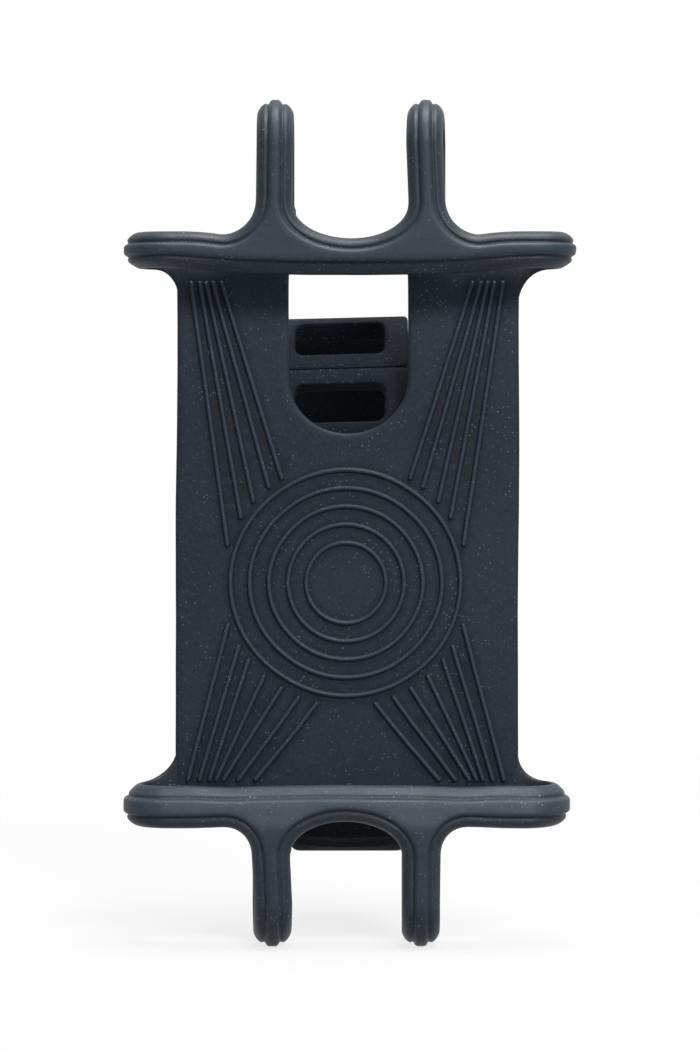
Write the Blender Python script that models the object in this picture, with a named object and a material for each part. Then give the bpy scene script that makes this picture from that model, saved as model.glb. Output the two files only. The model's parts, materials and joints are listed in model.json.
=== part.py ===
"""Phone handlebar mount: an all-silicone phone cradle with two stretch nets, a handlebar saddle with a hook, and a strap with a ladder of slots at its free end.

Metres, +Z up, +X right, -Y towards the rider. The origin is the middle of the saddle's flat floor, where the handlebar lies.
"""

import math

import bmesh
import bpy
from mathutils import Matrix, Vector

MM = 0.001
GAP = 0.3  # between pieces that are one moulding in life and move apart here

# depths, front to back (mm, Y)
PLATE_FRONT, PLATE_BACK = -8.5, -6.3
BAND = 2.6  # thickness of the net's bands
YOKE_FRONT, YOKE_BACK = -20.1, -17.5
BEND_Y = -13.1  # middle of the phone bay's wraps
BEND_OUT, BEND_IN = 7.0, 4.4

# plate (mm, X and Z)
PLATE_HALF = 26.2
PLATE_TOP, PLATE_LOW = 52.4, -36.3
FLARE_OUT = 31.0
CUT_HALF, CUT_STRAIGHT, CUT_LOW = 9.4, 31.6, 23.0

# nets
EAR_X = 26.8  # centre of the wrap round the phone's side
EAR_EDGE = EAR_X - 0.2  # the plate's side edge where the wraps come round to it
BAR_UP = (47.4, 52.6)
BAR_LOW = (-36.5, -31.1)
HORN = (8.8, 14.3)
LEG = (8.6, 14.35)
LOOP_UP_Z, LOOP_LOW_Z = 66.3, -47.8

# strap
PITCH, STRAP_T = 11.7, 2.6
STRAP_HALF = (9.0, 10.3)  # half width at the root and at the slots
TAPER = (4, 10)  # crease numbers between which the strap widens
SLOT_HALF, SLOT_TALL = 7.0, 6.2
FRONT_Y = -4.6  # centreline of the root and of the hooked end
LOOP_MID_Z = -0.6
LEANS = (0, 22, 40, 136, 158, 172, 177)  # the strap's direction at the middle of each cell, root to the middle of the rear, in degrees
CELL_GAP = 0.35
FIRST_SLOT = 11  # the strap is plain from its root to this cell, and slotted from there to its free end
CURL = 30.0  # how far the strap's end curls off the hook, in degrees

# saddle
SADDLE_HALF_X, SADDLE_HALF_Z, SADDLE_LIP = 12.0, 8.0, 2.2

SOFT = (0.034, 0.046, 0.062)
STRAP_COLOUR = (0.022, 0.026, 0.034)

for old in list(bpy.data.objects):
    bpy.data.objects.remove(old, do_unlink=True)
home = bpy.data.collections.new("phone_handlebar_mount")
bpy.context.scene.collection.children.link(home)


def material(name, colour, rough):
    m = bpy.data.materials.new(name)
    m.use_nodes = True
    b = m.node_tree.nodes["Principled BSDF"]
    b.inputs["Base Color"].default_value = (*colour, 1)
    b.inputs["Roughness"].default_value = rough
    return m


def arc(cx, cy, rx, ry, a0, a1, n):
    """Points on an ellipse from angle a0 to a1 in degrees."""
    out = []
    for i in range(n + 1):
        a = math.radians(a0 + (a1 - a0) * i / n)
        out.append((cx + rx * math.cos(a), cy + ry * math.sin(a)))
    return out


def mirrored(half):
    """A closed outline from its right half, bottom centre to top centre."""
    return half + [(-x, y) for x, y in reversed(half) if abs(x) > 1e-9]


def slab(name, outlines, thick, place, origin, colour, edge=0.35):
    """A flat outline (with holes) given thickness, its rim rounded, then placed. Numbers in mm; place is a 4x4 that takes the outline's plane to the frame."""
    c = bpy.data.curves.new(name + "_outline", "CURVE")
    c.dimensions, c.fill_mode = "2D", "BOTH"
    c.extrude = (thick / 2 - edge) * MM
    c.bevel_depth, c.bevel_resolution, c.offset = edge * MM, 1, -edge * MM
    for pts in outlines:
        s = c.splines.new("POLY")
        s.points.add(len(pts) - 1)
        for p, (x, y) in zip(s.points, pts):
            p.co = (x * MM, y * MM, 0, 1)
        s.use_cyclic_u = True
    flat = bpy.data.objects.new(name + "_flat", c)
    home.objects.link(flat)
    bpy.context.view_layer.update()
    mesh = bpy.data.meshes.new_from_object(
        flat.evaluated_get(bpy.context.evaluated_depsgraph_get())
    )
    bpy.data.objects.remove(flat, do_unlink=True)
    mesh.name = name
    bm = bmesh.new()
    bm.from_mesh(mesh)
    bmesh.ops.remove_doubles(bm, verts=bm.verts, dist=0.00002)
    bmesh.ops.dissolve_degenerate(bm, edges=bm.edges, dist=0.00001)
    bm.transform(place)
    bm.transform(Matrix.Translation(-Vector(origin) * MM))
    bmesh.ops.recalc_face_normals(bm, faces=bm.faces)
    if bm.calc_volume(signed=True) < 0:
        bmesh.ops.reverse_faces(bm, faces=bm.faces)
    bm.to_mesh(mesh)
    bm.free()
    mesh.materials.clear()
    mesh.materials.append(material(name + "_silicone", colour, 0.6))
    o = bpy.data.objects.new(name, mesh)
    o.location = Vector(origin) * MM
    home.objects.link(o)
    return o


def front(y):
    """Outline x,y to the frame's X,Z at depth y."""
    return Matrix(((1, 0, 0, 0), (0, 0, -1, y * MM), (0, 1, 0, 0), (0, 0, 0, 1)))


def side(x):
    """Outline x,y to the frame's Y,Z at width x."""
    return Matrix(((0, 0, 1, x * MM), (1, 0, 0, 0), (0, 1, 0, 0), (0, 0, 0, 1)))


def top(z):
    """Outline x,y to the frame's X,Y at height z."""
    return Matrix(((1, 0, 0, 0), (0, 1, 0, 0), (0, 0, 1, z * MM), (0, 0, 0, 1)))


ZERO = (0, 0, 0)

# ---- back plate with its U cut-out and the flares below the wraps
half = [(0, PLATE_LOW), (EAR_EDGE - 1.2, PLATE_LOW)]
half += arc(EAR_EDGE - 1.2, PLATE_LOW + 1.2, 1.2, 1.2, -60, 0, 2)
half += [(EAR_EDGE, BAR_LOW[1] + GAP), (FLARE_OUT, BAR_LOW[1] + GAP)]
half += [(x, y) for x, y in arc(FLARE_OUT, BAR_LOW[1] + 7.0, FLARE_OUT - PLATE_HALF, 6.2, 262, 180, 7)]
half += [(x, y) for x, y in arc(FLARE_OUT, BAR_UP[0] - 7.0, FLARE_OUT - PLATE_HALF, 6.2, 180, 98, 7)]
half += [(FLARE_OUT, BAR_UP[0] - GAP), (EAR_EDGE, BAR_UP[0] - GAP)]
half += arc(EAR_EDGE - 1.2, PLATE_TOP - 1.2, 1.2, 1.2, 0, 60, 2)
half += [(EAR_EDGE - 1.2, PLATE_TOP), (CUT_HALF, PLATE_TOP)]
half += arc(0, CUT_STRAIGHT, CUT_HALF, CUT_STRAIGHT - CUT_LOW, 0, -90, 10)
slab("back_plate", [mirrored(half)], PLATE_BACK - PLATE_FRONT, front((PLATE_BACK + PLATE_FRONT) / 2), ZERO, SOFT)

# ---- saddle: a block with a flat floor between two sloped lips
saddle = [
    (PLATE_BACK + GAP, -SADDLE_HALF_Z),
    (SADDLE_LIP, -SADDLE_HALF_Z),
    (0.0, -3.4),
    (0.0, 3.4),
    (SADDLE_LIP, SADDLE_HALF_Z),
    (PLATE_BACK + GAP, SADDLE_HALF_Z),
]
slab("handlebar_saddle", [saddle], 2 * SADDLE_HALF_X, side(0), ZERO, SOFT, edge=0.3)

# ---- hook: a stem through the strap's slot with a short lip towards the saddle
hook = [
    (PLATE_BACK + GAP, 16.1),
    (-2.9, 16.1),
    (-2.9, 15.4),
    (-1.1, 15.4),
    (-1.1, 18.1),
    (PLATE_BACK + GAP, 18.1),
]
slab("strap_hook", [hook], 10.0, side(0), ZERO, SOFT, edge=0.25)

# ---- nets
for tag, up in (("upper", 1), ("lower", -1)):
    lo, hi = BAR_UP if up == 1 else BAR_LOW
    h0, h1 = HORN if up == 1 else LEG
    bend = LOOP_UP_Z if up == 1 else LOOP_LOW_Z
    far = (hi if up == 1 else lo)  # the bar's edge on the horns' side
    near = (lo if up == 1 else hi)  # the edge towards the phone's middle
    dip = 0.8  # the arch between the horns starts this far inside the bar's far edge
    reach = abs(bend - far) - GAP / 2
    r = 3.8
    # right half, drawn for a net whose horns point to +z, then flipped if needed; the near edge bows towards the middle of the plate
    half = [(0, -0.8)] + [(x, -0.8 * (1 - (x / EAR_X) ** 2)) for x in (7, 13, 19, 24)]
    tall = abs(far - near)
    half += [(EAR_X - GAP / 2, 0), (EAR_X - GAP / 2, tall), (h1 + r, tall)]
    half += arc(h1 + r, tall + r, r, r, 270, 180, 6)[1:]
    half += [(h1, tall + reach), (h0, tall + reach)]
    half += arc(0, tall - dip + 5.8, h0, 5.8, 0, -90, 8)
    yoke = [(x, near + up * z) for x, z in mirrored(half)]
    slab(tag + "_yoke", [yoke], BAND, front((YOKE_FRONT + YOKE_BACK) / 2), (0, 0, near), SOFT)
    for hand, s in (("left", -1), ("right", 1)):
        # wrap over the phone's end: front band to back band
        loop = arc(BEND_Y, 0, BEND_OUT, BEND_OUT, 180, 0, 16) + arc(BEND_Y, 0, BEND_IN, BEND_IN, 0, 180, 12)
        loop = [(y, bend + up * (z + GAP / 2)) for y, z in loop]
        slab(f"{tag}_{hand}_loop", [loop], h1 - h0, side(s * (h0 + h1) / 2), (0, 0, bend), SOFT)
        # back band: from the plate's edge to the wrap
        edge_z = (PLATE_TOP if up == 1 else PLATE_LOW) + up * GAP
        end_z = bend - up * GAP / 2
        y0, y1 = BEND_Y + BEND_IN, BEND_Y + BEND_OUT
        band = [(s * h0, edge_z), (s * h1, edge_z), (s * h1, end_z), (s * h0, end_z)]
        slab(f"{tag}_{hand}_band", [band], y1 - y0, front((y0 + y1) / 2), (0, 0, edge_z), SOFT)
        # wrap round the phone's side
        ear = arc(EAR_X, BEND_Y, BEND_OUT, BEND_OUT, -90, 90, 16) + arc(EAR_X, BEND_Y, BEND_IN, BEND_IN, 90, -90, 12)
        ear = [(s * (x + GAP / 2), y) for x, y in ear]
        slab(f"{tag}_{hand}_ear", [ear], hi - lo, top((lo + hi) / 2), (0, 0, (lo + hi) / 2), SOFT)

# ---- strap: straight cells between the crease lines, from the root below the saddle round to the hook above it
STEPS = 60  # of the curve in each cell


def lean(s):
    """The strap's direction at s pitches from its start: 0 is straight down, 90 to the rear."""
    turns = list(LEANS) + [360 - t for t in reversed(LEANS)]
    t = min(max(s - 0.5, 0.0), 13.0)
    i = min(int(t), 12)
    return math.radians(turns[i] + (turns[i + 1] - turns[i]) * (t - i))


def half_width(i):
    """The strap's half width at crease i."""
    t = min(max((i - TAPER[0]) / (TAPER[1] - TAPER[0]), 0.0), 1.0)
    return STRAP_HALF[0] + (STRAP_HALF[1] - STRAP_HALF[0]) * t


y, z = 0.0, 0.0
creases = [(y, z)]
for i in range(14):
    for k in range(STEPS):
        a = lean(i + (k + 0.5) / STEPS)
        y, z = y + math.sin(a) * PITCH / STEPS, z - math.cos(a) * PITCH / STEPS
    creases.append((y, z))
rise = (creases[0][1] + creases[-1][1]) / 2
creases = [(y + FRONT_Y, z - rise + LOOP_MID_Z) for y, z in creases]

names = ["strap_anchor", "strap_lower_a", "strap_lower_b", "strap_under_a", "strap_under_b", "strap_rear_a", "strap_rear_b", "strap_rear_c", "strap_rear_d", "strap_over_a", "strap_over_b", "strap_upper_a", "strap_upper_b", "strap_end"]
chords = [(Vector(b) - Vector(a)) for a, b in zip(creases, creases[1:])]
bends = [math.degrees(abs(a.angle_signed(b))) for a, b in zip(chords, chords[1:])]
bends[-1] += CURL  # the end also curls off its hook
trims = [CELL_GAP / 2 + STRAP_T / 2 * math.tan(math.radians(b / 2)) for b in bends]
for i, name in enumerate(names):
    (y, z), span, d = creases[i], chords[i].length, chords[i].normalized()
    # the root starts at the saddle, and the free end runs on past its slot
    lo = trims[i - 1] if i else z + SADDLE_HALF_Z + GAP
    n = (span - trims[i] if i < 13 else span + 1.0) - lo
    mid = lo + n / 2
    h0, h1, hl = half_width(i), half_width(i + 1), n / 2
    if i == 13:
        out = [(-h0, -hl), (h0, -hl)]
        out += arc(h1 - 3, hl - 3, 3, 3, 0, 90, 5) + arc(-h1 + 3, hl - 3, 3, 3, 90, 180, 5)
    else:
        out = [(-h0, -hl), (h0, -hl), (h1, hl), (-h1, hl)]
    outlines = [out]
    if i >= FIRST_SLOT:
        c0 = span / 2 - mid  # the slot is in the middle of the cell
        r, sh, st = 1.0, SLOT_HALF, SLOT_TALL / 2
        slot = arc(sh - r, c0 + st - r, r, r, 0, 90, 3) + arc(-sh + r, c0 + st - r, r, r, 90, 180, 3)
        slot += arc(-sh + r, c0 - st + r, r, r, 180, 270, 3) + arc(sh - r, c0 - st + r, r, r, 270, 360, 3)
        outlines.append(slot)
    cy, cz = y + d[0] * mid, z + d[1] * mid
    place = Matrix(
        (
            (1, 0, 0, 0),
            (0, d[0], d[1], cy * MM),
            (0, d[1], -d[0], cz * MM),
            (0, 0, 0, 1),
        )
    )
    slab(name, outlines, STRAP_T, place, (0, y, z), STRAP_COLOUR, edge=0.3)
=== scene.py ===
import json
import math

import bmesh
import bpy
import numpy as np
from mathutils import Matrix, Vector, kdtree, noise
from mathutils.geometry import delaunay_2d_cdt


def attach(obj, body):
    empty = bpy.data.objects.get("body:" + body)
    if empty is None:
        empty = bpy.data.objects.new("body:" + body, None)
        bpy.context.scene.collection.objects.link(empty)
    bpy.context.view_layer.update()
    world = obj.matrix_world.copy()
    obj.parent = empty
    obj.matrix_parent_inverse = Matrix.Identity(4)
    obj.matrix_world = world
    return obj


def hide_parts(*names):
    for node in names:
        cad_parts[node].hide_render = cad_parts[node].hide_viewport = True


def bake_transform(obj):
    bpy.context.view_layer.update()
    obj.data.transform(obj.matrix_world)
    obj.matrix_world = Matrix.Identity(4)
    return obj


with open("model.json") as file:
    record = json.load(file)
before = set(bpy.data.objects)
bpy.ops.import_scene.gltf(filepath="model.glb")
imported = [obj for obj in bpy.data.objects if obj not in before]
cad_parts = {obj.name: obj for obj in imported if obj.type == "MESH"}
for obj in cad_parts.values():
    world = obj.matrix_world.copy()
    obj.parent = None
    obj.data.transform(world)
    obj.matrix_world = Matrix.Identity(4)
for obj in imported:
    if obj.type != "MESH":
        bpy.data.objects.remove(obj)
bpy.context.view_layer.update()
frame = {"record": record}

MM = 0.001

# ---------------------------------------------------------------- sizes, in mm, as in the CAD
BAR_UP, BAR_LOW = (47.4, 52.6), (-36.5, -31.1)
HORN, LEG = (8.85, 14.4), (8.6, 14.35)
LOOP_UP_Z, LOOP_LOW_Z = 66.3, -47.8
PLATE_HALF, PLATE_TOP, PLATE_LOW = 26.2, 52.4, -36.3
CUT_HALF, CUT_STRAIGHT, CUT_LOW = 9.4, 31.6, 23.0
BEND_Y = -13.1
TURN_R = 5.7  # middle of the band in its turn round the phone's edge
TURN = math.pi * TURN_R
FLARE = (5.6, 5.4)  # of the bands into the plate's sides: along the band, along the side

PITCH, STRAP_T = 11.7, 2.6
STRAP_HALF, TAPER = (9.0, 10.3), (4, 10)
SLOT_HALF, SLOT_TALL = 7.0, 6.2
FRONT_Y, LOOP_MID_Z = -4.6, -0.6
LEANS = (0, 22, 40, 136, 158, 172, 177)
FIRST_SLOT = 11
STRAP_CELLS = ["strap_anchor", "strap_lower_a", "strap_lower_b", "strap_under_a", "strap_under_b", "strap_rear_a", "strap_rear_b", "strap_rear_c", "strap_rear_d", "strap_over_a", "strap_over_b", "strap_upper_a", "strap_upper_b", "strap_end"]


# ---------------------------------------------------------------- mesh helpers
def smooth(t):
    t = min(max(t, 0.0), 1.0)
    return t * t * (3 - 2 * t)


def wave(x, y, size, seed):
    """Smooth noise between about -1 and 1, with features of that size."""
    return noise.noise(Vector((x / size, y / size, seed)))


def arc(cx, cy, rx, ry, a0, a1, n):
    out = []
    for i in range(n + 1):
        a = math.radians(a0 + (a1 - a0) * i / n)
        out.append((cx + rx * math.cos(a), cy + ry * math.sin(a)))
    return out


def mirrored(half):
    return half + [(-x, y) for x, y in reversed(half) if abs(x) > 1e-9]


def closed(points, step, passes=2, hole=False):
    """A closed outline at even spacing, its corners eased; anticlockwise, or clockwise for a hole."""
    p = np.array(points, float)
    p = p[np.linalg.norm(np.roll(p, -1, 0) - p, axis=1) > 1e-7]
    q = np.vstack([p, p[:1]])
    s = np.concatenate([[0], np.cumsum(np.linalg.norm(np.diff(q, axis=0), axis=1))])
    t = np.linspace(0, s[-1], max(12, int(round(s[-1] / step))), endpoint=False)
    p = np.c_[np.interp(t, s, q[:, 0]), np.interp(t, s, q[:, 1])]
    for _ in range(passes):
        p = 0.25 * np.roll(p, 1, 0) + 0.5 * p + 0.25 * np.roll(p, -1, 0)
    area = np.sum(p[:, 0] * np.roll(p[:, 1], -1) - np.roll(p[:, 0], -1) * p[:, 1])
    return p[::-1].copy() if (area > 0) == hole else p


def inward(p):
    """Unit normals on the left of travel, which is the material's side."""
    t = np.roll(p, -1, 0) - np.roll(p, 1, 0)
    return np.c_[-t[:, 1], t[:, 0]] / np.linalg.norm(t, axis=1)[:, None]


def inside(pts, loops):
    x, y = pts[:, 0], pts[:, 1]
    odd = np.zeros(len(pts), bool)
    for p in loops:
        for (a, b), (c, d) in zip(p, np.roll(p, -1, 0)):
            if b != d:
                odd ^= ((b > y) != (d > y)) & (x < (c - a) * (y - b) / (d - b) + a)
    return odd


CROSSINGS = []


def fill(loops, grid, lines=()):
    """Triangles inside the outlines, with a staggered grid of points. Each line is (points, is it closed) and stays an edge of the mesh."""
    pts, edges = [], []
    for p, shut in [(p, True) for p in loops] + [(p, shut) for p, shut in lines]:
        k, n = len(pts), len(p)
        pts += [(float(a), float(b)) for a, b in p]
        edges += [(k + i, k + (i + 1) % n) for i in range(n if shut else n - 1)]
    tree = kdtree.KDTree(len(pts))
    for i, (a, b) in enumerate(pts):
        tree.insert((a, b, 0), i)
    tree.balance()
    flat = np.array(pts)
    lo, hi = flat.min(0), flat.max(0)
    rows = []
    for j in range(int((hi[1] - lo[1]) / (grid * 0.866)) + 1):
        x = np.arange(lo[0] + (grid / 2 if j % 2 else 0), hi[0], grid)
        rows.append(np.c_[x, np.full(len(x), lo[1] + j * grid * 0.866)])
    g = np.vstack(rows)
    g = g[inside(g, loops)]
    g = [(float(a), float(b)) for a, b in g if tree.find((a, b, 0))[2] > 0.62 * grid]
    pts += g
    co, _, tris, origin, _, _ = delaunay_2d_cdt([Vector(p) for p in pts], edges, [], 0, 1e-7)
    index = []
    for c, source in zip(co, origin):
        if not source:  # where two lines cross
            pts.append((c[0], c[1]))
            CROSSINGS.append((c[0], c[1]))
        index.append(source[0] if source else len(pts) - 1)
    keep = np.array([[index[i] for i in t] for t in tris])
    flat = np.array(pts)
    keep = keep[inside(flat[keep].mean(1), loops)]
    return pts, [tuple(int(i) for i in t) for t in keep]


def sheet(name, loops, rings, place, grid=0.9, widen=None, ridges=(), light_paint_scale=None):
    """A closed thick sheet in plan (u, v): rings of (inset, height) run from its front face round the rim to its back
    face, and place puts (u, v, height) in the frame, in mm. A third number in a ring paints a highlight on a crest (up
    to 1) or shade in a crease (down to -1) into the material, and the scale function given weakens it by place. ridges
    are (points, closed, height, mark) on the front face, their mark painting highlight or shade the same way.
    """
    normals = [inward(p) for p in loops]
    scale = [np.ones(len(p)) if widen is None else widen(p, n) for p, n in zip(loops, normals)]

    def ring(inset):
        return [p + n * (inset * k)[:, None] for p, n, k in zip(loops, normals, scale)]

    verts, faces, starts, marks = [], [], [], []
    for inset, height, *mark in rings:
        at = []
        for p in ring(inset):
            at.append(len(verts))
            verts += [place(u, v, height) for u, v in p]
            marks += [(mark[0] if mark else 0.0) * (light_paint_scale(u, v) if light_paint_scale else 1.0) for u, v in p]
        starts.append(at)
    for a, b in zip(starts, starts[1:]):
        for i, j, p in zip(a, b, loops):
            n = len(p)
            faces += [(i + k, i + (k + 1) % n, j + (k + 1) % n, j + k) for k in range(n)]
    for end in (0, -1):
        inset, height, *mark = rings[end]
        extra = ridges if end == 0 else ()
        pts, tris = fill(ring(inset), grid, [(p, shut) for p, shut, _, _ in extra])
        own = sum(len(p) for p in loops)
        index = list(range(starts[end][0], starts[end][0] + own))
        raised, tone = [0.0] * own, [0.0] * own
        for p, _, h, k in extra:
            raised += [h] * len(p)
            tone += [k] * len(p)
        raised += [0.0] * (len(pts) - len(raised))
        tone += (mark or [0.0]) * (len(pts) - len(tone))
        for k in range(own, len(pts)):
            u, v = pts[k]
            index.append(len(verts))
            verts.append(place(u, v, height + raised[k]))
            marks.append(tone[k] * (light_paint_scale(u, v) if light_paint_scale else 1.0))
        faces += [tuple(index[i] for i in t) for t in tris]
    return solid(name, verts, faces, marks)


def solid(name, verts, faces, marks):
    mesh = bpy.data.meshes.new(name)
    mesh.from_pydata([tuple(c * MM for c in v) for v in verts], [], faces)
    bm = bmesh.new()
    bm.from_mesh(mesh)
    relief = bm.verts.layers.float.new("relief")
    for v, k in zip(bm.verts, marks):
        v[relief] = k
    loose = [v for v in bm.verts if not v.link_faces]
    bmesh.ops.delete(bm, geom=loose, context="VERTS")
    bmesh.ops.recalc_face_normals(bm, faces=bm.faces)
    if bm.calc_volume(signed=True) < 0:
        bmesh.ops.reverse_faces(bm, faces=bm.faces)
    bm.to_mesh(mesh)
    bm.free()
    mesh.shade_smooth()
    o = bpy.data.objects.new(name, mesh)
    bpy.context.scene.collection.objects.link(o)
    return o


# ---------------------------------------------------------------- silicone
def silicone(name, dark, light, rough, shine, dust, root=None):
    m = bpy.data.materials.new(name)
    m.use_nodes = True
    t = m.node_tree
    bsdf = t.nodes["Principled BSDF"]
    new, link = t.nodes.new, t.links.new
    where = new("ShaderNodeTexCoord").outputs["Object"]

    def noisy(size, detail, roughness=0.5):
        n = new("ShaderNodeTexNoise")
        n.inputs["Scale"].default_value = 1 / size
        n.inputs["Detail"].default_value = detail
        n.inputs["Roughness"].default_value = roughness
        link(where, n.inputs["Vector"])
        return n.outputs["Fac"]

    def ramp(source, stops):
        r = new("ShaderNodeValToRGB")
        e = r.color_ramp.elements
        while len(e) < len(stops):
            e.new(0.5)
        for k, (at, c) in zip(e, stops):
            k.position = at
            k.color = (*c, 1) if isinstance(c, tuple) else (c, c, c, 1)
        link(source, r.inputs["Fac"])
        return r.outputs["Color"]

    def maths(op, a, b, clamp=False):
        n = new("ShaderNodeMath")
        n.operation, n.use_clamp = op, clamp
        for i, v in enumerate((a, b)):
            if isinstance(v, float):
                n.inputs[i].default_value = v
            else:
                link(v, n.inputs[i])
        return n.outputs[0]

    def specks(size, share, radius):
        """Scattered dust: a share of the cells hold a speck of that radius, in cell sizes."""
        v = new("ShaderNodeTexVoronoi")
        v.inputs["Scale"].default_value = 1 / size
        link(where, v.inputs["Vector"])
        split = new("ShaderNodeSeparateColor")
        link(v.outputs["Color"], split.inputs["Color"])
        has = maths("LESS_THAN", split.outputs[0], share)
        reach = maths("MULTIPLY", split.outputs[1], radius)
        near = maths("SUBTRACT", reach, v.outputs["Distance"])
        near = maths("MULTIPLY", near, 14.0, True)
        return maths("MULTIPLY", has, near)

    def mix(fac, a, b):
        n = new("ShaderNodeMix")
        n.data_type = "RGBA"
        link(fac, n.inputs["Factor"])
        for socket, v in ((n.inputs[6], a), (n.inputs[7], b)):
            if isinstance(v, tuple):
                socket.default_value = (*v, 1)
            else:
                link(v, socket)
        return n.outputs[2]

    # broad cloudy patches, then a finer mottle
    cloud = noisy(0.018, 3.0)
    base = ramp(cloud, [(0.32, dark), (0.70, light)])
    if root:  # it takes on the plate's tone where it runs into the plate
        axes = new("ShaderNodeSeparateXYZ")
        link(where, axes.inputs["Vector"])
        near = new("ShaderNodeMapRange")
        near.interpolation_type = "SMOOTHSTEP"
        near.inputs["From Min"].default_value, near.inputs["From Max"].default_value = -0.0135, -0.0090
        link(axes.outputs["Y"], near.inputs["Value"])
        base = mix(near.outputs["Result"], base, ramp(cloud, [(0.32, root[0]), (0.70, root[1])]))
    mottle = ramp(noisy(0.0016, 5.0, 0.65), [(0.3, 0.0), (0.75, 1.0)])
    base = mix(maths("MULTIPLY", mottle, 0.35), base, tuple(c * 1.22 for c in light))
    grit = ramp(noisy(0.00032, 2.0, 0.6), [(0.42, 0.0), (0.72, 1.0)])
    base = mix(maths("MULTIPLY", grit, 0.5), base, tuple(c * 1.75 for c in light))
    # painted highlight on the crests and painted shade in the creases, from the relief marks
    relief = new("ShaderNodeAttribute")
    relief.attribute_name = "relief"
    relief = relief.outputs["Fac"]
    base = mix(maths("MULTIPLY", relief, 0.65, True), base, tuple(c * 2.0 + 0.007 for c in light))
    base = mix(maths("MULTIPLY", relief, -0.8, True), base, tuple(c * 0.25 for c in dark))
    # dust: fine specks everywhere in drifts, and a few larger ones
    drift = ramp(noisy(0.007, 2.0), [(0.42, 0.0), (0.62, 1.0)])
    fine = maths("MULTIPLY", specks(0.0005, 0.75, 0.29), maths("ADD", maths("MULTIPLY", drift, 0.28), 0.10))
    spots = maths("MAXIMUM", fine, maths("MULTIPLY", specks(0.0020, 0.40, 0.09), 0.40))
    spots = maths("MULTIPLY", spots, dust, True)
    link(mix(spots, base, (0.21, 0.25, 0.26)), bsdf.inputs["Base Color"])
    # matt skin with slightly polished patches
    gloss = ramp(noisy(0.009, 4.0), [(0.3, rough - 0.07), (0.7, rough + 0.07)])
    link(maths("ADD", gloss, maths("MULTIPLY", spots, 0.2)), bsdf.inputs["Roughness"])
    # moulded skin: fine grain, a faint orange peel, and the dust standing proud
    grain = maths("MULTIPLY", noisy(0.00022, 3.0, 0.6), 0.35)
    peel = maths("MULTIPLY", noisy(0.0021, 2.0), 0.9)
    high = maths("ADD", maths("ADD", grain, peel), maths("MULTIPLY", spots, 0.5))
    bump = new("ShaderNodeBump")
    bump.inputs["Strength"].default_value = 0.55
    bump.inputs["Distance"].default_value = 0.00006
    link(high, bump.inputs["Height"])
    link(bump.outputs["Normal"], bsdf.inputs["Normal"])
    bsdf.inputs["IOR"].default_value = 1.41
    bsdf.inputs["Specular IOR Level"].default_value = shine
    return m


PLATE_TONE = (0.0092, 0.0153, 0.0226), (0.0126, 0.0199, 0.0284)
CRADLE_SKIN = silicone("cradle_silicone_skin", *PLATE_TONE, 0.52, 0.30, 0.9)
NET_SKIN = silicone("net_silicone_skin", (0.0140, 0.0210, 0.0290), (0.0190, 0.0275, 0.0365), 0.50, 0.38, 1.5, tuple(tuple(c * 0.86 for c in t) for t in PLATE_TONE))
# the strap's tone is darker than the plate's: painted shade for the shadow the plate casts on it
STRAP_SKIN = silicone("strap_silicone_skin", (0.0060, 0.0088, 0.0128), (0.0086, 0.0122, 0.0170), 0.68, 0.06, 0.7)


def finish_piece(o, skin, slot, *nodes):
    o.data.materials.append(skin)
    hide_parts(*nodes)
    return o


def m(*v):
    return tuple(c * MM for c in v)


# ---------------------------------------------------------------- back plate with raised rings and rays
def stub_shift(v):
    """How far sideways the plate's two pairs of end stubs sit."""
    return 0.60 * smooth((v - 50.5) / 3.0) - 0.35 * smooth((-35.0 - v) / 3.0)


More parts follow.
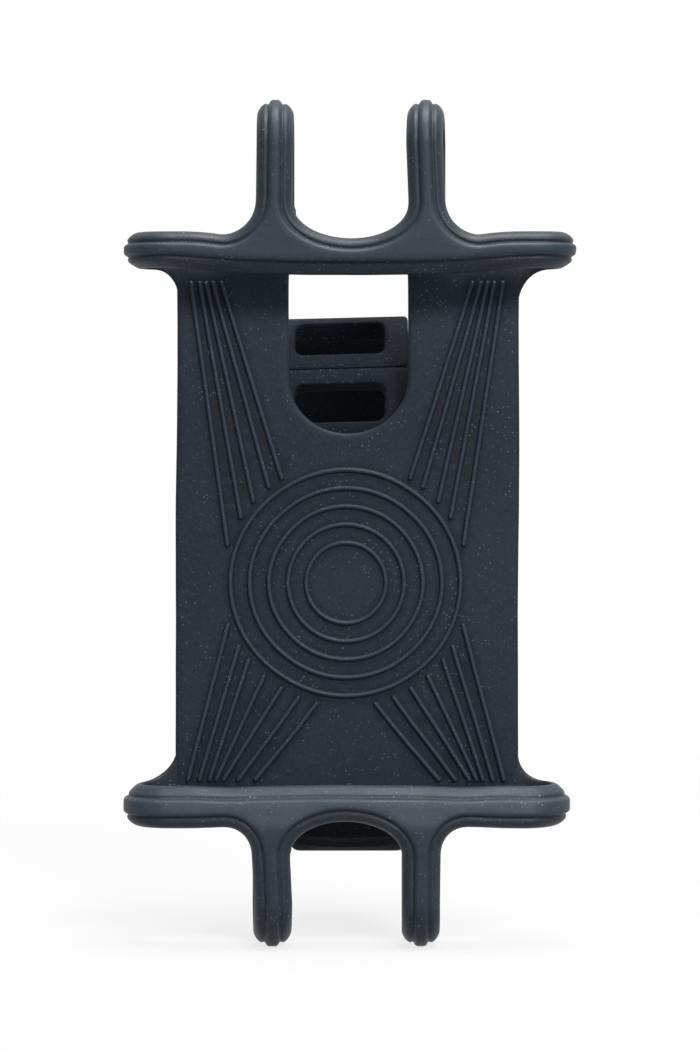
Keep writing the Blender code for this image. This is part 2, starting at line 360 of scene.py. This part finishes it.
def plate():
    t, low = PLATE_TOP, PLATE_LOW
    r = 3.8
    a, b = LEG
    half = [(0, low), (a - 3.0, low)] + arc(a - 3.0, low - 3.0, 3.0, 3.0, 90, 0, 8)
    half += arc(a + 1.3, -41.2, 1.3, 1.3, 180, 270, 6) + arc(b - 1.3, -41.2, 1.3, 1.3, 270, 360, 6)
    half += arc(b + r, low - r, r, r, 180, 90, 10)
    half += arc(PLATE_HALF - 1.0, low + 1.0, 1.0, 1.0, -90, 0, 5)
    half += [(PLATE_HALF - 0.05, -5), (PLATE_HALF, 12), (PLATE_HALF - 0.15, 40)]
    half += arc(PLATE_HALF - 1.0, t - 1.0, 1.0, 1.0, 0, 90, 5)
    a, b = HORN
    half += arc(b + r, t + r, r, r, 270, 180, 10)
    half += arc(b - 1.3, 57.4, 1.3, 1.3, 0, 90, 6) + arc(a + 1.3, 57.4, 1.3, 1.3, 90, 180, 6) + [(a, 53.0)]
    half += [(a + (CUT_HALF - a) * smooth(k / 8), 53.0 - 6.5 * k / 8) for k in range(1, 9)]
    half += arc(0, CUT_STRAIGHT, CUT_HALF, CUT_STRAIGHT - CUT_LOW, 0, -90, 16)
    outline = closed(mirrored(half), 0.45, 2)

    # ridges: half-round beads, drawn as nested lines of rising height, the third number painting shade at a bead's foot
    # and a highlight along its top
    bead = [(0.47, 0.0, -0.5), (0.40, 0.0, -1.0), (0.37, 0.22, -0.2), (0.27, 0.43, 0.6), (0.13, 0.54, 1.0), (0.0, 0.57, 1.0)]
    ridges = []
    cx, cz = -0.35, 0.05
    for i in range(5):
        for o, h, k in bead:
            for s in ((1, -1) if o else (1,)):
                R = 6.27 + 2.84 * i + s * o
                n = int(2 * math.pi * (6.27 + 2.84 * i) / 0.42)
                ridges.append(([(cx + R * math.cos(2 * math.pi * j / n), cz + 0.985 * R * math.sin(2 * math.pi * j / n)) for j in range(n)], True, h, k))
    rays = []
    for angle, x in zip((162, 148, 138.6, 129, 122), (-23.8, -22.5, -21.5, -20.5, -19.2)):
        rays.append((19.0, angle, x, 46.1))
    for angle, x in zip((200, 211, 218.6, 228.6, 238, 247, 256), (-24.1, -22.4, -20.9, -19.9, -18.8, -16.6, -14.1)):
        rays.append((19.2, angle, x, -30.2))
    for R, angle, x, z in rays:
        q = math.radians(angle)
        for side in (1, -1):
            p0 = np.array([cx + side * R * math.cos(q), cz + R * math.sin(q)])
            p1 = np.array([cx * 0.5 + side * x, z])
            d = p1 - p0
            length = np.linalg.norm(d)
            d /= length
            e = np.array([-d[1], d[0]])
            n = int(length / 0.42)
            for o, h, k in bead:
                if o == 0:
                    ridges.append(([tuple(p0 + d * length * j / n) for j in range(n + 1)], False, h, k))
                    continue
                loop = [tuple(p0 + d * length * j / n - e * o) for j in range(n + 1)]
                loop += [tuple(p1 + o * (-e * math.cos(f) + d * math.sin(f))) for f in np.linspace(0, math.pi, 7)[1:-1]]
                loop += [tuple(p1 - d * length * j / n + e * o) for j in range(n + 1)]
                loop += [tuple(p0 + o * (e * math.cos(f) - d * math.sin(f))) for f in np.linspace(0, math.pi, 7)[1:-1]]
                ridges.append((loop, True, h, k))

    def place(u, v, n):
        # the ends under the bands sink into them
        k = max(smooth((v - 55.0) / 3.2), smooth((-38.8 - v) / 3.2))
        n = n + (1.1 - n) * 0.2 * k
        left, right = -0.38 + 0.16 * smooth((v - 5) / 25), 0.02 + 0.22 * smooth((v + 5) / 30)
        u = u + wave(u, v, 9, 3.1) * 0.04 + np.interp(u, (-26.2, -14, -9.4, 0, 9.4, 14, 26.2), (left, 0.05, 0.25, 0, -0.15, 0, right))
        return (u + stub_shift(v), -6.3 - n - 0.05 * wave(u, v, 16, 7.7), v)

    rings = [(0.5, 2.2), (0.24, 2.14), (0.08, 1.99), (0.0, 1.72), (0.0, 1.1), (0.0, 0.48), (0.08, 0.21), (0.24, 0.06), (0.5, 0.0)]
    o = sheet("plate_skin", [outline], rings, place, 0.9, ridges=ridges)
    finish_piece(o, CRADLE_SKIN, "cradle_silicone", "back_plate")
    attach(o, "cradle")


# ---------------------------------------------------------------- nets: bar, horns and the turns round the phone
def turn(s, n):
    """How far on, and how deep, a band is at s past the start of its turn, n above the phone's side."""
    if s <= 0:
        return s, BEND_Y - 4.4 - n
    f = s / TURN_R
    if f < math.pi:
        r = 4.4 + 0.25 * smooth(f / math.pi)
        return (r + n) * math.sin(f), BEND_Y - (r + n) * math.cos(f)
    return -(s - TURN), BEND_Y + 4.65 + n


def net(tag, up, ear, shift, lean, tilt, climb, ends, corner, fall, dip, flares, root):
    """tilt turns the bar's far edge forward, climb moves the bands on as they come round the sides, ends move its near and far edges at its two ends and corner lengthens those, fall lowers its near margin, lean, corner and flares are (right, left), flares as shares of FLARE, and root is the radius where a horn leaves the bar."""
    lo, hi = BAR_UP if up > 0 else BAR_LOW
    near = lo if up > 0 else hi
    tall = hi - lo
    h0, h1 = HORN if up > 0 else LEG
    bend = LOOP_UP_Z if up > 0 else LOOP_LOW_Z
    loop_w = abs(bend - near)
    end_w = loop_w + TURN + abs(bend - (PLATE_TOP if up > 0 else PLATE_LOW)) + 3.5
    side_u = ear + TURN + ear - PLATE_HALF  # the plate's side edge

    def half(flare):
        fu, fw = FLARE[0] * flare, FLARE[1] * flare
        out = [(u, -0.8 * (1 - (u / ear) ** 2) - ends[0] * smooth((u - 16) / 10)) for u in np.linspace(0, ear, 30)]
        out += [(side_u - fu + fu * math.sin(a), -ends[0] - (fw - ends[0]) * (1 - math.cos(a))) for a in np.linspace(0, math.pi / 2, 12)]
        out += arc(side_u + 2.8, -fw, 2.8, 2.8, 180, 360, 14)[1:]
        out += arc(side_u + 3.0, tall - 2.6, 2.6, 2.6, 0, 90, 8)
        out += [(u, tall + ends[1] * smooth((u - 17) / 8) * (1 - smooth((u - ear - 9) / 8))) for u in np.linspace(side_u, h1 + root + 0.4, 40)]
        out += arc(h1 + root, tall + root, root, root, 270, 180, 12)
        c = (h0 + h1) / 2
        out += arc(c, end_w - (h1 - h0) / 2, (h1 - h0) / 2, (h1 - h0) / 2, 0, 180, 14)
        out += arc(0, tall - dip + 5.2, h0, 5.2, 0, -90, 22)
        return out

    outline = closed(half(flares[0]) + [(-u, w) for u, w in reversed(half(flares[1])) if abs(u) > 1e-9], 0.5, 3)

    def place(u, w, n):
        side = 1 if u >= 0 else -1
        a = abs(u)
        seed = 2.3 if up > 0 else 8.9
        n += 0.035 * wave(u, w, 5, seed) * min(1, n)
        w += 0.06 * wave(u, w, 8, seed + 4)
        n -= fall * n * smooth((1.5 - w) / 1.7)
        f = max(a - ear, w - loop_w, 0.0) / TURN_R
        if n > 2.1:  # the rib dies out where the band comes back to the plate
            n = 2.1 + (n - 2.1) * (1 - smooth((f - 0.72 * math.pi) / (0.22 * math.pi)))
        x, z = a, near + up * w
        back = min(f / math.pi, 1.0)
        if a > ear:
            on, y = turn(a - ear, n)
            x = ear + on
            z += climb * up * smooth(back)
        elif w > loop_w:
            on, y = turn(w - loop_w, n)
            z = bend + up * on
        else:
            y = BEND_Y - 4.4 - n
        front = 1 - smooth(back)
        y -= tilt * (min(max(w, 0.0), tall) - tall / 2) * front
        if a < ear and w > tall:
            x -= lean[side < 0] * (min(w, loop_w) - tall) * front
        x += corner[side < 0] * (0.4 + 0.6 * smooth((w - 2.4) / 2.2)) * smooth((a - 19) / 8) * front
        rear = 0.0 if a > ear else stub_shift(near + up * max(w, tall))
        return (side * x + shift * front + rear * (1 - front), y, z)

    # the third numbers paint a highlight on the rib and, faintly, on the margins, and paint shade in the grooves
    # between them
    rings = [
        (2.42, 2.80, 0.45), (2.25, 2.76, 0.5), (2.08, 2.66, 0.5), (1.94, 2.50, 0.3), (1.84, 2.32, -0.1), (1.75, 2.17, -0.5), (1.64, 2.10, -0.6), (1.50, 2.14, -0.35),
        (1.34, 2.20, 0.0), (1.15, 2.18, 0.1), (0.90, 2.05, 0.1), (0.62, 1.80), (0.36, 1.46), (0.15, 1.10), (0.03, 0.75), (0.0, 0.5), (0.06, 0.28), (0.22, 0.09), (0.5, 0.0),
    ]

    def light_paint_scale(u, w):
        return 1 - 0.8 * smooth((w - tall + 1.5) / 4)  # painted highlight and shade at full strength on the bar, fading to a fifth on the horns

    o = sheet(tag + "_net_skin", [outline], rings, place, 0.8, light_paint_scale=light_paint_scale)
    finish_piece(o, NET_SKIN, "cradle_silicone", *[n for n in frame["record"]["behaviour"]["bodies"][tag + "_net"]])
    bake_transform(o)


# ---------------------------------------------------------------- saddle and hook on the back
def saddle():
    half = [(0, -6.5), (9.4, -6.5), (8.75, -6.15), (8.3, -5.5), (8.08, -4.6), (8.0, -2.0), (8.0, 1.2), (7.9, 1.75), (7.6, 2.08), (7.15, 2.1)]
    z = 6.85
    while z > 0.02:
        half.append((z, -0.16 + 2.1 * (z / 6.9) ** 2 + 0.16 * max(0.0, math.cos(2 * math.pi * z / 1.7))))
        z -= 0.16
    half.append((0, 0.0))
    outline = closed(mirrored(half), 0.22, 1)

    def place(u, v, n):
        k = 1 + 0.05 * smooth((-4.6 - v) / 1.9)  # the foot spreads sideways too
        return ((n - 12.0) * k, v, u)

    rings = [(0.55, 24.0), (0.3, 23.9), (0.1, 23.7), (0.0, 23.4), (0.0, 12.0), (0.0, 0.6), (0.1, 0.3), (0.3, 0.1), (0.55, 0.0)]
    dense = rings[:4] + [(0.0, 23.4 - 0.8 * k) for k in range(1, 29)] + rings[5:]
    o = sheet("saddle_skin", [outline], dense, place, 0.7)
    finish_piece(o, CRADLE_SKIN, "cradle_silicone", "handlebar_saddle")
    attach(o, "cradle")


def hook():
    pts = [(-6.5, 15.3), (-5.9, 15.9), (-5.0, 16.1), (-2.9, 16.1), (-2.9, 15.5), (-2.6, 15.2), (-1.5, 15.2), (-1.1, 15.6), (-1.1, 17.6), (-1.6, 18.1), (-5.0, 18.1), (-5.9, 18.3), (-6.5, 18.9)]
    outline = closed(pts, 0.16, 6)

    def place(u, v, n):
        return (n - 5.0, u, v)

    rings = [(0.4, 10.0), (0.2, 9.94), (0.06, 9.8), (0.0, 9.55)] + [(0.0, 9.55 - 0.65 * k) for k in range(1, 14)] + [(0.0, 0.45), (0.06, 0.2), (0.2, 0.06), (0.4, 0.0)]
    o = sheet("hook_skin", [outline], rings, place, 0.5)
    finish_piece(o, CRADLE_SKIN, "cradle_silicone", "strap_hook")
    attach(o, "cradle")


# ---------------------------------------------------------------- strap
def strap_lean(s):
    turns = list(LEANS) + [360 - t for t in reversed(LEANS)]
    t = min(max(s - 0.5, 0.0), 13.0)
    i = min(int(t), 12)
    return math.radians(turns[i] + (turns[i + 1] - turns[i]) * (t - i))


class Strap:
    """The strap's centreline in the Y, Z plane, by distance from its first crease."""

    def __init__(self):
        n = 60
        y = z = 0.0
        pts, at = [(y, z)], [0.0]
        for i in range(14 * n):
            a = strap_lean((i + 0.5) / n)
            y, z = y + math.sin(a) * PITCH / n, z - math.cos(a) * PITCH / n
            pts.append((y, z))
            at.append((i + 1) * PITCH / n)
        rise = pts[-1][1] / 2
        self.y = np.array([p[0] + FRONT_Y for p in pts])
        self.z = np.array([p[1] - rise + LOOP_MID_Z for p in pts])
        self.s = np.array(at)

    def point(self, s, n):
        a = strap_lean(s / PITCH)
        c = min(max(s, 0.0), self.s[-1])
        y, z = np.interp(c, self.s, self.y), np.interp(c, self.s, self.z)
        y, z = y + math.sin(a) * (s - c), z - math.cos(a) * (s - c)
        return y - math.cos(a) * n, z - math.sin(a) * n


def half_width(s):
    t = min(max((s / PITCH - TAPER[0]) / (TAPER[1] - TAPER[0]), 0.0), 1.0)
    return STRAP_HALF[0] + (STRAP_HALF[1] - STRAP_HALF[0]) * t


def strap():
    line = Strap()
    # bodies and the blend's ends for the cells at each bend: (a, b, start, end); nothing blends them, those cells are
    # only baked in place, and every other cell rides on strap_over
    bends = {
        (0, 1): ("cradle", "strap_lower", (0, -4, -16.5), (0, -4, -31.5)),
        (2, 3): ("strap_lower", "strap_under", (0, 1.6, -38), (0, 16.3, -38)),
        (4, 5): ("strap_under", "strap_rear", (0, 22, -33.4), (0, 22, -12.8)),
        (6, 7): ("strap_rear", "strap_over", (0, 24, -11.8), (0, 24, 10.6)),
        (10, 11): ("strap_over", "strap_upper", (0, 16.3, 38), (0, 1.6, 38)),
        (12, 13): ("strap_upper", "strap_tip", (0, -4, 28.0), (0, -4, 17.0)),
    }
    for i, name in enumerate(STRAP_CELLS):
        s0, s1 = i * PITCH, (i + 1) * PITCH
        if i == 0:
            s0 = -3.8  # the root starts inside the saddle's foot
        if i == 13:
            s1 += 1.0
        w0, w1 = half_width(s0), half_width(s1)
        q = 0.55
        q0, q1 = {3: 2.3}.get(i, q), {2: 2.3, 13: 3.0}.get(i, q)  # rounder at the lowest bend and the free end
        out = arc(w0 - q0, s0 + q0, q0, q0, -90, 0, 6) + arc(w1 - q1, s1 - q1, q1, q1, 0, 90, 8)
        loops = [closed(mirrored([(0, s0)] + out + [(0, s1)]), 0.4, 1)]
        if i >= FIRST_SLOT:
            c, sh, st, q = (i + 0.5) * PITCH, SLOT_HALF, SLOT_TALL / 2, 1.25
            slot = arc(sh - q, c - st + q, q, q, -90, 0, 6) + arc(sh - q, c + st - q, q, q, 0, 90, 6)
            loops.append(closed([(u - 0.45, v) for u, v in mirrored([(0, c - st)] + slot + [(0, c + st)])], 0.4, 1, hole=True))

        def place(u, s, n):
            k = smooth((s / PITCH - 8.5) / 3.0)
            if n > 0:  # fuller on the outside of its two tight bends
                n += (0.48 * math.exp(-(((s / PITCH - 3) * 2.6) ** 2)) + 0.65 * math.exp(-(((s / PITCH - 11) * 2.6) ** 2))) * n / 1.3
            y, z = line.point(s, n)
            if i == 0 and n > 0:  # the root is moulded to the plate's back
                y -= 0.5 * (n / 1.3) * (1 - smooth((s + 1.0) / 9.0))
            y += 0.05 * wave(u, s, 7, 4.4)
            return (u - 0.85 * k, y, z + 0.027 * u * k)

        def widen(p, n):
            return 1 + 1.6 * n[:, 0] ** 2

        h = STRAP_T / 2
        rings = [(0.26, h), (0.13, h - 0.05), (0.04, h - 0.18), (0.0, h - 0.4), (0.0, 0.0), (0.0, 0.4 - h), (0.04, 0.18 - h), (0.13, 0.05 - h), (0.26, -h)]
        # two faint folds across the outside of the lowest bend, each with a painted highlight along its crest
        folds = []
        if i == 2:
            for at, half, tall, tone in ((30.0, 8.0, 0.16, 0.55), (32.2, 6.4, 0.10, 0.32)):
                for off, share in ((-0.45, 0.0), (-0.18, 0.7), (0.0, 1.0), (0.18, 0.7), (0.45, 0.0)):
                    folds.append(([(half * (j / 20 - 1), at + off - 0.5 * (j / 20 - 1) ** 2) for j in range(41)], False, tall * share, tone * share))
        o = sheet(name + "_skin", loops, rings, place, 0.8, widen=widen, ridges=folds)
        finish_piece(o, STRAP_SKIN, "strap_silicone", name)
        for pair, (a, b, start, end) in bends.items():
            if i in pair:
                m(*start)
                m(*end)
                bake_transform(o)
                break
        else:
            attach(o, "strap_over")


plate()
net("upper", 1, 27.0, 0.45, (0.04, 0.012), 0.05, 0.5, (-0.3, 0.6), (0.65, 0.2), 0.38, 0.45, (0.90, 0.66), 5.2)
net("lower", -1, 26.65, -0.35, (0.013, 0.05), 0.25, -0.2, (0.6, 0.2), (0.0, 0.1), 0.22, 0.8, (0.78, 1.12), 3.8)
saddle()
hook()
strap()

# ---------------------------------------------------------------- stage, light and camera
FLOOR_Z = -0.0550


def floor():
    n, size = 48, 0.9
    verts = [((2 * i / n - 1) * size, (2 * j / n - 1) * size, FLOOR_Z) for j in range(n + 1) for i in range(n + 1)]
    faces = [(j * (n + 1) + i, j * (n + 1) + i + 1, (j + 1) * (n + 1) + i + 1, (j + 1) * (n + 1) + i) for j in range(n) for i in range(n)]
    mesh = bpy.data.meshes.new("floor")
    mesh.from_pydata(verts, [], faces)
    o = bpy.data.objects.new("floor", mesh)
    bpy.context.scene.collection.objects.link(o)
    mat = bpy.data.materials.new("pale_floor")
    mat.use_nodes = True
    t = mat.node_tree
    b = t.nodes["Principled BSDF"]
    b.inputs["Base Color"].default_value = (0.50, 0.50, 0.50, 1)
    b.inputs["Roughness"].default_value = 0.7
    b.inputs["Specular IOR Level"].default_value = 0.2
    # the floor fades out with distance from the object, so no far edge shows
    where = t.nodes.new("ShaderNodeTexCoord")
    far = t.nodes.new("ShaderNodeVectorMath")
    far.operation = "LENGTH"
    t.links.new(where.outputs["Object"], far.inputs[0])
    fade = t.nodes.new("ShaderNodeMapRange")
    fade.inputs["From Min"].default_value, fade.inputs["From Max"].default_value = 0.10, 0.40
    fade.inputs["To Min"].default_value, fade.inputs["To Max"].default_value = 0.22, 0.0
    fade.interpolation_type = "SMOOTHSTEP"
    t.links.new(far.outputs["Value"], fade.inputs["Value"])
    t.links.new(fade.outputs["Result"], b.inputs["Alpha"])
    mesh.materials.append(mat)


def area(name, at, to, size, power, colour=(1, 1, 1)):
    d = bpy.data.lights.new(name, "AREA")
    d.shape, d.size, d.energy, d.color = "DISK", size, power, colour
    o = bpy.data.objects.new(name, d)
    o.location = at
    o.rotation_euler = (Vector(to) - Vector(at)).to_track_quat("-Z", "Y").to_euler()
    bpy.context.scene.collection.objects.link(o)


floor()
world = bpy.data.worlds.new("studio") if bpy.context.scene.world is None else bpy.context.scene.world
bpy.context.scene.world = world
world.use_nodes = True
wt = world.node_tree
background = wt.nodes["Background"]
background.inputs["Color"].default_value = (1, 1, 1, 1)
# a white studio: bright behind and above the object, dimmer on the camera's side
aim = wt.nodes.new("ShaderNodeTexCoord")
axes = wt.nodes.new("ShaderNodeSeparateXYZ")
wt.links.new(aim.outputs["Generated"], axes.inputs["Vector"])
sides = wt.nodes.new("ShaderNodeMapRange")
sides.interpolation_type = "SMOOTHSTEP"
sides.inputs["From Min"].default_value, sides.inputs["From Max"].default_value = -0.30, 0.85
sides.inputs["To Min"].default_value, sides.inputs["To Max"].default_value = 0.36, 1.0
wt.links.new(axes.outputs["Y"], sides.inputs["Value"])
wt.links.new(sides.outputs["Result"], background.inputs["Strength"])
area("top_softbox", (0.14, -0.14, 0.95), (0, 0, 0.0), 0.62, 14.0)
area("front_key", (0.30, -0.85, 0.54), (0, 0, 0.01), 0.30, 6.9)

cam = bpy.data.cameras.new("camera")
cam.sensor_width = 36.0
cam.lens = 36.0 * 450.0 / 157.5
camera = bpy.data.objects.new("camera", cam)
camera.location = m(0.3, -470.0, 8.93)
camera.rotation_euler = (math.radians(90), 0, 0)
bpy.context.scene.collection.objects.link(camera)
bpy.context.scene.camera = camera
bpy.context.scene.view_settings.view_transform = "Standard"
